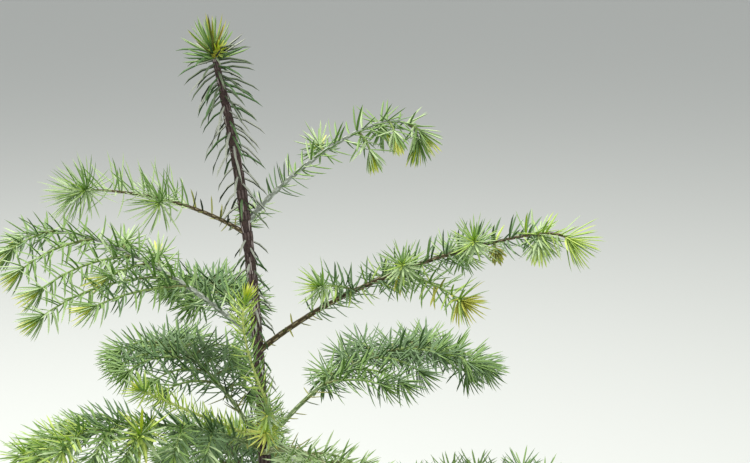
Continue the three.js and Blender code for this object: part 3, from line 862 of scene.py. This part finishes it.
def needle_mesh(name, root, first, last, upper, length, width, tone, thickness=0.6):
    count, rings = len(root), len(NEEDLE_RINGS)
    at = NEEDLE_RINGS[None, :, None]
    size = length[:, None, None]
    middle = root[:, None] + first[:, None] * size * 0.5
    tip = middle[:, 0] + last * length[:, None] * 0.5
    centre = (1 - at) ** 2 * root[:, None] + 2 * at * (1 - at) * middle + at**2 * tip[:, None]
    along = unit((1 - at) * first[:, None] + at * last[:, None])
    side = unit(np.cross(upper[:, None] + 0 * along, along))
    face = np.cross(along, side)
    half = (width[:, None] * NEEDLE_SWELL[None] * 0.5)[..., None]
    thin = half * thickness
    corners = [centre + side * half, centre + face * thin, centre - side * half, centre - face * thin]
    body = np.stack(corners, axis=2).reshape(count, rings * 4, 3)
    points = np.concatenate([body, tip[:, None]], axis=1)
    quads, quad_tone = [[3, 2, 1, 0]], [0]
    for ring in range(rings - 1):
        for corner in range(4):
            here, after = ring * 4 + corner, ring * 4 + (corner + 1) % 4
            quads.append([here, after, after + 4, here + 4])
            # the two faces towards the upper side take the paler finish: partly stomatal band, partly painted
            # highlight
            quad_tone.append(1 if corner < 2 else 0)
    top = (rings - 1) * 4
    triangles = [[top + corner, top + (corner + 1) % 4, rings * 4] for corner in range(4)]
    offset = (np.arange(count) * (rings * 4 + 1))[:, None, None]
    tones = tone[:, None] * 2
    # the point's two upper triangles also take the paler finish with its painted highlight
    return mesh_object(name, points.reshape(-1, 3), (np.array(quads)[None] + offset).reshape(-1, 4),
                       (np.array(triangles)[None] + offset).reshape(-1, 3),
                       (tones + np.array(quad_tone)[None]).ravel(),
                       (tones + np.array([1, 1, 0, 0])[None]).ravel(), NEEDLES, False)


print("a needle is", len(NEEDLE_RINGS), "rings of four corners, and a point")

# %% [markdown]
# ## Needles on a shoot
# Seen from above, needles stand in pairs like the letter V, at changing heights round the stem. Over the
# last few millimetres they crowd and lean less and less, which makes the star that shows when a tip is seen
# from its end. The star of a hanging tip stays half closed, like a brush.
# %% Grow needles on a line
GOLDEN_ANGLE = 137.5
TO_THE_LIGHT = 0.1
ROOT_DEPTH = 0.6
FACE_TILT = 0.5


def along_and_out(line, at, turn):
    along, across, above = axes_on(line, at)
    turn = np.radians(turn)[:, None]
    return along, above * np.cos(turn) + across * np.sin(turn)


def grow(line, at, turn, lean, curl, length, width, radius):
    """Needles on a line: turn is measured round the stem from its upper side, lean from its growth."""
    along, out = along_and_out(line, at, turn)
    lean, half = np.radians(lean)[:, None], np.radians(curl) / 2
    first = along * np.cos(lean + half) + out * np.sin(lean + half)
    last = along * np.cos(lean - half) + out * np.sin(lean - half)
    last = unit(last + np.array([0, 0, TO_THE_LIGHT]))
    root = on_line(line, at) + out * (radius * ROOT_DEPTH)[:, None]
    # the pale upper faces turn towards the sky, where their finish stands partly for a painted highlight
    upper = unit(np.array([0, 0, 1.0]) - FACE_TILT * out)
    return root, first, last, upper, length, width


# %% Clothe a shoot
STAR_FOOT = 3
STAR_DEPTH = 3.4
STAR_LEAN = 80
STAR_LEAN_LOSS = 66
STAR_LEAN_POWER = 1.1
HANGING_SLOPES = (-0.9, -0.3)
HANGING_OPENINGS = (0.5, 1.0)
INNER_STAR = 0.86
INNER_SIZE = 0.5
STAR_SIZE_LOSS = 0.1


def clothe(shoot, radius_at, crowding, draw):
    """Pairs of needles up to the tip, then its star; also how far each one is from the tip."""
    line, length, own = shoot["line"], shoot["length"], shoot["look"]
    pairs = max(1, int((length - STAR_FOOT) / (2 * own["spacing"] * crowding)))
    at = (np.arange(pairs) + 0.2 + 0.6 * draw.random(pairs)) / pairs * (1 - STAR_FOOT / length)
    at = np.repeat(at, 2)
    angles = np.repeat(np.resize(own["pairs"], pairs), 2)
    turn = np.tile([1, -1], pairs) * (angles + draw.uniform(-15, 15, 2 * pairs))
    lean = own["lean"] + draw.uniform(-1, 1, 2 * pairs) * own["unevenness"]
    crowd = own["star_needles"]
    star = (np.arange(crowd) + 0.5) / crowd
    opened = own["star"] * np.interp(along_line(line, 1.0)[2], HANGING_SLOPES, HANGING_OPENINGS)
    at = np.concatenate([at, 1 - STAR_DEPTH * (1 - star) / length])
    star_turn = own["star_turn"] + np.arange(crowd) * GOLDEN_ANGLE
    turn = np.concatenate([turn, star_turn + draw.uniform(-10, 10, crowd)])
    star_lean = STAR_LEAN - STAR_LEAN_LOSS * star**STAR_LEAN_POWER
    lean = np.concatenate([lean, opened * (star_lean + draw.uniform(-5, 5, crowd))])
    size = own["needle"] * draw.uniform(0.84, 1.05, len(at))
    size[-crowd:] *= own["star_size"] * np.where(star > INNER_STAR, INNER_SIZE, 1 - STAR_SIZE_LOSS * star)
    width = own["width"] * draw.uniform(0.85, 1.12, len(at))
    width[-crowd:] *= own["star_width"]
    needles = grow(line, at, turn, lean, curl=16, length=size, width=width, radius=radius_at(at))
    return (*needles, (1 - at) * length)


stars = [own["star_needles"] for own in LOOKS.values()]
print("a star has", min(stars), "to", max(stars), "needles")

# %% [markdown]
# ## Which tone goes where
# The body of a shoot takes one tone, with a needle in five from the mixed tones of its tips. Towards the
# tip, to a ragged depth, all are mixed, and the innermost ones have the tone of its heart.
# %% Deal the tones
MIXED_SHARE = 0.2
RAGGED_DEPTH = (0.6, 1.5)


def deal(names, count, draw):
    """A tone for each of so many needles, taken by chance out of the names."""
    tones = np.array([TONES.index(name) for name in names.split()])
    return tones[draw.integers(len(tones), size=count)]


def tones_for(own, to_tip, draw):
    body = own["body"].split()
    body = TONES.index(body[draw.integers(len(body))])
    mixed = deal(own["tips"], len(to_tip), draw)
    tone = np.where(draw.random(len(to_tip)) < MIXED_SHARE, mixed, body)
    tone = np.where(to_tip < own["tip_depth"] * draw.uniform(*RAGGED_DEPTH), mixed, tone)
    return np.where(to_tip < own["heart_depth"], TONES.index(own["heart"]), tone)


# %% [markdown]
# ## Needles on every bough
# A bough's own tip is clothed like its twigs. Its bare foot keeps a few single needles, more and longer ones
# where the bark is young. A needle whose tip would touch the trunk is dropped.
# %% Needles of the boughs
STEM_CROWDING = 1.1
TWIG_CROWDING = 0.9
YOUNG_FOOT = {"spacing": 0.8, "longer": 2, "tones": "pale blue blue"}
OLD_FOOT = {"spacing": 1.5, "longer": 0, "tones": "olive olive dusk"}
FOOT_GAP = 3
TIP_CLEARANCE = 0.4


def foot_needles(bough, draw):
    foot = YOUNG_FOOT if look_of(bough)["bark"] in ("grey", "fresh") else OLD_FOOT
    bare = bough["length"] * bough["bare"]
    few = int(bare / foot["spacing"])
    at = np.sort(draw.uniform(FOOT_GAP / bare, 1, few))
    line = on_line(bough["line"], np.linspace(0, bough["bare"], num=20))
    needles = grow(line, at, turn=draw.uniform(-150, 150, few), lean=draw.uniform(50, 85, few), curl=10,
                   length=draw.uniform(2.5, 5, few) + 4 * at + foot["longer"], width=0.75 + 0 * at,
                   radius=bough_radius(bough, at * bough["bare"]))
    return [*needles, deal(foot["tones"], few, draw)]


def needles_of(bough):
    draw = np.random.default_rng(bough["seed"])
    own, bare = look_of(bough), bough["bare"]
    stem = {"line": leafy_line(bough), "length": bough["length"] * (1 - bare)}
    stem["look"] = {**own, **own["end"]}
    ways = [(stem, lambda at: bough_radius(bough, bare + at * (1 - bare)), STEM_CROWDING)]
    twigs = [shoot for shoot in SHOOTS if shoot["bough"] is bough]
    ways += [(twig, lambda at: TWIG_RADIUS + 0 * at, TWIG_CROWDING) for twig in twigs]
    grown = []
    for shoot, radius_at, crowding in ways:
        *needles, to_tip = clothe(shoot, radius_at, crowding, draw)
        grown.append([*needles, tones_for(shoot["look"], to_tip, draw)])
    return grown + [foot_needles(bough, draw)]


def clear_of_trunk(parts):
    root, first, last, _, length = parts[:5]
    tips = root + (first + last) * length[:, None] / 2
    keep = distance_to_trunk(tips) > trunk_radius(tips[:, 2]) + TIP_CLEARANCE
    return [part[keep] for part in parts]


total = 0
for tier in TIERS:
    own = [b for b in BOUGHS if b["tier"] == tier]
    grown = [clear_of_trunk(parts) for bough in own for parts in needles_of(bough)]
    needles = needle_mesh(f"tier{tier}_needles", *[np.concatenate(parts) for parts in zip(*grown)])
    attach(needles, "root")
    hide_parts(*[b["name"] + "_foliage" for b in BOUGHS if b["tier"] == tier])
    count = sum(len(parts[0]) for parts in grown)
    total += count
    print(needles.name, count, "needles")
print(total, "needles on the boughs")

# %% [markdown]
# ## The leader
# The leader is the trunk's soft upper part. Its needles start nearly square to the stem and bow down, in
# bands with a gap at each whorl. A band is its lower end, its upper end and the step between needles.
# %% Leader needles
LEADER_FOOT = 262
LEADER_BANDS = ((402, TRUNK_HEIGHT, 0.38), (380, 402, 0.72), (356, 380, 1.15), (309, 346, 1.1),
                (273, 300, 1.5))
LEADER_LENGTH = 15.5
TOP_LEAN = 20
MORE_LEAN = 118
LEAN_DEPTH = 7
LEAN_TOP = 5
SHORTER_BELOW = ((350, 0.72), (380, 0.82))
DARK_ABOVE = 398
ROOT_SWELL = 1.4
draw = np.random.default_rng(7)
leader_line = trunk_point(np.linspace(LEADER_FOOT, TRUNK_HEIGHT, num=80))


def leader_share(height):
    return (height - LEADER_FOOT) / (TRUNK_HEIGHT - LEADER_FOOT)


def chosen(odds, count):
    return draw.choice([TONES.index(tone) for tone in odds], count, p=list(odds.values()))


height = np.concatenate([np.arange(*band) for band in LEADER_BANDS])
height = height + draw.uniform(-0.3, 0.3, len(height))
turn = np.arange(len(height)) * GOLDEN_ANGLE + draw.uniform(-12, 12, len(height))
depth = TRUNK_HEIGHT + LEAN_TOP - height
lean = TOP_LEAN + MORE_LEAN * (1 - np.exp(-depth / LEAN_DEPTH))
lean = lean + draw.uniform(-8, 8, len(height))
size = LEADER_LENGTH * draw.uniform(0.86, 1.04, len(height))
for level, share in SHORTER_BELOW:
    size = size * np.where(height < level, share, 1)
reflexed = grow(leader_line, leader_share(height), turn, lean, curl=-44, length=size,
                width=draw.uniform(0.88, 1.08, len(height)), radius=bark_radius(height) * ROOT_SWELL)
print(len(height), "bowed needles below the rosette")

# %% [markdown]
# ## The rosette
# Upright needles close over the bud, dark green outside and paler, with a little gold, inside. Those below
# are dark, and many have a pale grey upper side, partly pale edges and partly painted highlight.
# %% Rosette
ROSETTE = 60
ROSETTE_FOOT = 3
ROSETTE_TOP = (-0.3, 0, 1.5)
OUTER_SHARE = 0.4
LEADER_THICKNESS = 0.85

share = (np.arange(ROSETTE) + 0.5) / ROSETTE
rosette_line = np.array([trunk_point(TRUNK_HEIGHT - ROSETTE_FOOT), trunk_point(TRUNK_HEIGHT) + ROSETTE_TOP])
upright = grow(rosette_line, share, turn=np.arange(ROSETTE) * GOLDEN_ANGLE,
               lean=92 - 80 * share + draw.uniform(-6, 6, ROSETTE), curl=8,
               length=13.2 * draw.uniform(0.84, 1.04, ROSETTE), width=draw.uniform(0.85, 1.05, ROSETTE),
               radius=0.8 + 0 * share)
# grey needles carry a very pale upper side that is partly painted highlight
low = chosen({"grey": 0.6, "dusk": 0.25, "deep": 0.15}, len(height))
high = chosen({"grey": 0.12, "dusk": 0.5, "deep": 0.38}, len(height))
outer = chosen({"deep": 0.4, "grey": 0.25, "mid": 0.35}, ROSETTE)
inner = chosen({"mid": 0.22, "pale": 0.36, "gold": 0.26, "olive": 0.12, "rust": 0.04}, ROSETTE)
below = np.where(height > DARK_ABOVE, high, low)
tone = np.concatenate([below, np.where(share < OUTER_SHARE, outer, inner)])
needles = [np.concatenate(parts) for parts in zip(reflexed, upright)]
leader = needle_mesh("leader_needles", *needles, tone, LEADER_THICKNESS)
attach(leader, "root")
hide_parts("leader_tip", "leader_needles_upper", "leader_needles_middle", "leader_needles_lower")
print(len(height) + ROSETTE, "needles on the leader")

# %% [markdown]
# ## Leaf bases
# Below a needle its base runs down the stem as a pale ridge, and stays when the needle has dropped. It is
# the same awl, laid along the stem with its point downwards, under every third needle and in places where
# needles have dropped.
# %% Leaf bases on the leader
RIDGE_STEP = 3
DROPPED_BANDS = ((264, 350, 26), (346, 356, 8))
RIDGE_RAISE = 1.04
RIDGE_SINK = 0.03


def leaf_bases(line, at, turn, length, width, radius):
    along, out = along_and_out(line, at, turn)
    root = on_line(line, at) + out * radius[:, None] * RIDGE_RAISE
    down = unit(-along - RIDGE_SINK * out)
    return root, down, down, out, length, width, np.full(len(at), TONES.index("base"))


dropped = [draw.uniform(*band) for band in DROPPED_BANDS]
ridge_height = np.concatenate([height[::RIDGE_STEP], *dropped])
ridge_turn = np.concatenate([turn[::RIDGE_STEP], draw.uniform(0, 360, sum(len(part) for part in dropped))])
ridges = needle_mesh("leader_leaf_bases", *leaf_bases(
    leader_line, leader_share(ridge_height), ridge_turn, length=draw.uniform(4, 7, len(ridge_height)),
    width=draw.uniform(0.4, 0.7, len(ridge_height)), radius=bark_radius(ridge_height)))
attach(ridges, "root")
print(len(ridge_height), "leaf bases on the leader")

# %% [markdown]
# ## The buds
# A small pointed bud stands in the rosette, with a second one beside it. Each is a cone that is cut round
# twice, swells at the cuts and is turned the way it grows. The side bud wears short bright needles.
# %% Buds
BUD_CUTS = ((-1.5, 1.3), (0.8, 1.35))
BUD_SKIN = needle_finish("bud_skin", (182, 178, 66))


def bud(name, place, direction, thickness):
    bpy.ops.mesh.primitive_cone_add(vertices=10, radius1=1.0, radius2=0.25, depth=6, location=(0, 0, 0))
    shoot = bpy.context.object
    shoot.name = name
    bpy.ops.object.mode_set(mode="EDIT")
    for level, swell in BUD_CUTS:
        bpy.ops.mesh.select_all(action="SELECT")
        bpy.ops.mesh.bisect(plane_co=(0, 0, level), plane_no=(0, 0, 1))
        bpy.ops.transform.resize(value=(swell, swell, 1))
    bpy.ops.object.mode_set(mode="OBJECT")
    turned = Vector((0, 0, 1)).rotation_difference(Vector(direction)).to_matrix().to_4x4()
    size = Matrix.Diagonal((MM * thickness, MM * thickness, MM, 1))
    shoot.data.transform(Matrix.Translation(Vector(place * MM)) @ turned @ size)
    shoot.data.shade_smooth()
    shoot.data.materials.append(BUD_SKIN)
    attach(shoot, "root")


top = trunk_point(TRUNK_HEIGHT)
tip_direction = unit(top - trunk_point(TRUNK_HEIGHT - 4))
bud("leader_bud", top + tip_direction * 3.5, tip_direction, thickness=1.0)
side_place = top + np.array([2.0, -2.6, 0.2])
side_direction = unit(np.array([0.5, -0.55, 0.66]))
bud("side_bud", side_place, side_direction, thickness=1.3)

# %% Needles of the side bud
YOUNG_NEEDLES = 20
share = (np.arange(YOUNG_NEEDLES) + 0.5) / YOUNG_NEEDLES
bud_line = np.array([side_place - side_direction * 1.5, side_place + side_direction * 2])
young_tone = np.where(share < 0.5, TONES.index("bright"), TONES.index("yellow"))
young_needles = needle_mesh("side_bud_needles", *grow(
    bud_line, share, turn=np.arange(YOUNG_NEEDLES) * GOLDEN_ANGLE, lean=70 - 58 * share, curl=10,
    length=5 - 1.5 * share, width=1.0 + 0 * share, radius=0.9 + 0 * share), young_tone)
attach(young_needles, "root")
print("two buds, and", YOUNG_NEEDLES, "short needles round the side bud")

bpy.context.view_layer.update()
faces = sum(len(p.vertices) - 2 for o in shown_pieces() for p in o.data.polygons)
print(faces, "triangles")
